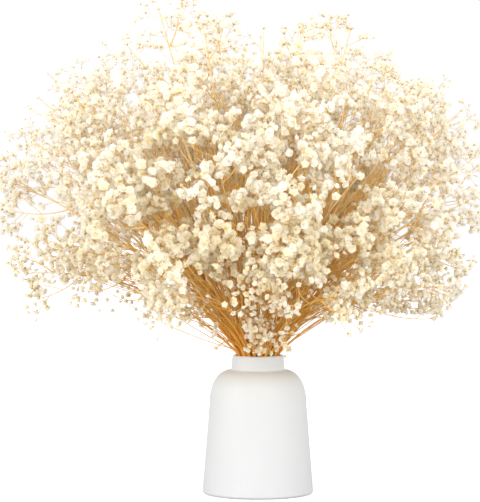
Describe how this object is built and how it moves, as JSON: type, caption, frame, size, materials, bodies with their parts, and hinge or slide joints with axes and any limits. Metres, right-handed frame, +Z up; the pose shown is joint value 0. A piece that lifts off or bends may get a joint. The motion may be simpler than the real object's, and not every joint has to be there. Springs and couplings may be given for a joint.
{
  "type": "vase of dried gypsophila",
  "caption": "Matt white ceramic vase with a short straight neck and rounded shoulder, filled with a wide, airy dome of dried gypsophila sprays that fan out past its rim.",
  "frame": {"origin": "centre of the vase's flat foot, on the surface it stands on", "axes": "+Z up along the vase's turned axis; -Y faces the picture's camera; +X is the picture's right"},
  "size_m": [0.4821, 0.4303, 0.4911],
  "materials": {
    "vase_ceramic": "matte",
    "dried_stem": "matte",
    "dried_floret": "matte"
  },
  "bodies": {
    "root": {"vase": "vase_ceramic", "spray_01": "dried_stem", "spray_02": "dried_stem", "spray_03": "dried_stem", "spray_04": "dried_stem", "spray_05": "dried_stem", "spray_06": "dried_stem", "spray_07": "dried_stem", "spray_08": "dried_stem", "spray_09": "dried_stem", "spray_10": "dried_stem", "spray_11": "dried_stem", "spray_12": "dried_stem", "spray_13": "dried_stem", "spray_14": "dried_stem", "spray_15": "dried_stem", "spray_16": "dried_stem", "spray_17": "dried_stem", "spray_18": "dried_stem", "spray_19": "dried_stem", "spray_20": "dried_stem", "spray_21": "dried_stem", "spray_22": "dried_stem", "spray_23": "dried_stem", "spray_24": "dried_stem", "spray_25": "dried_stem", "spray_26": "dried_stem", "spray_27": "dried_stem", "spray_28": "dried_stem", "spray_29": "dried_stem", "spray_30": "dried_stem", "spray_31": "dried_stem", "spray_32": "dried_stem", "spray_33": "dried_stem"}
  },
  "joints": []
}
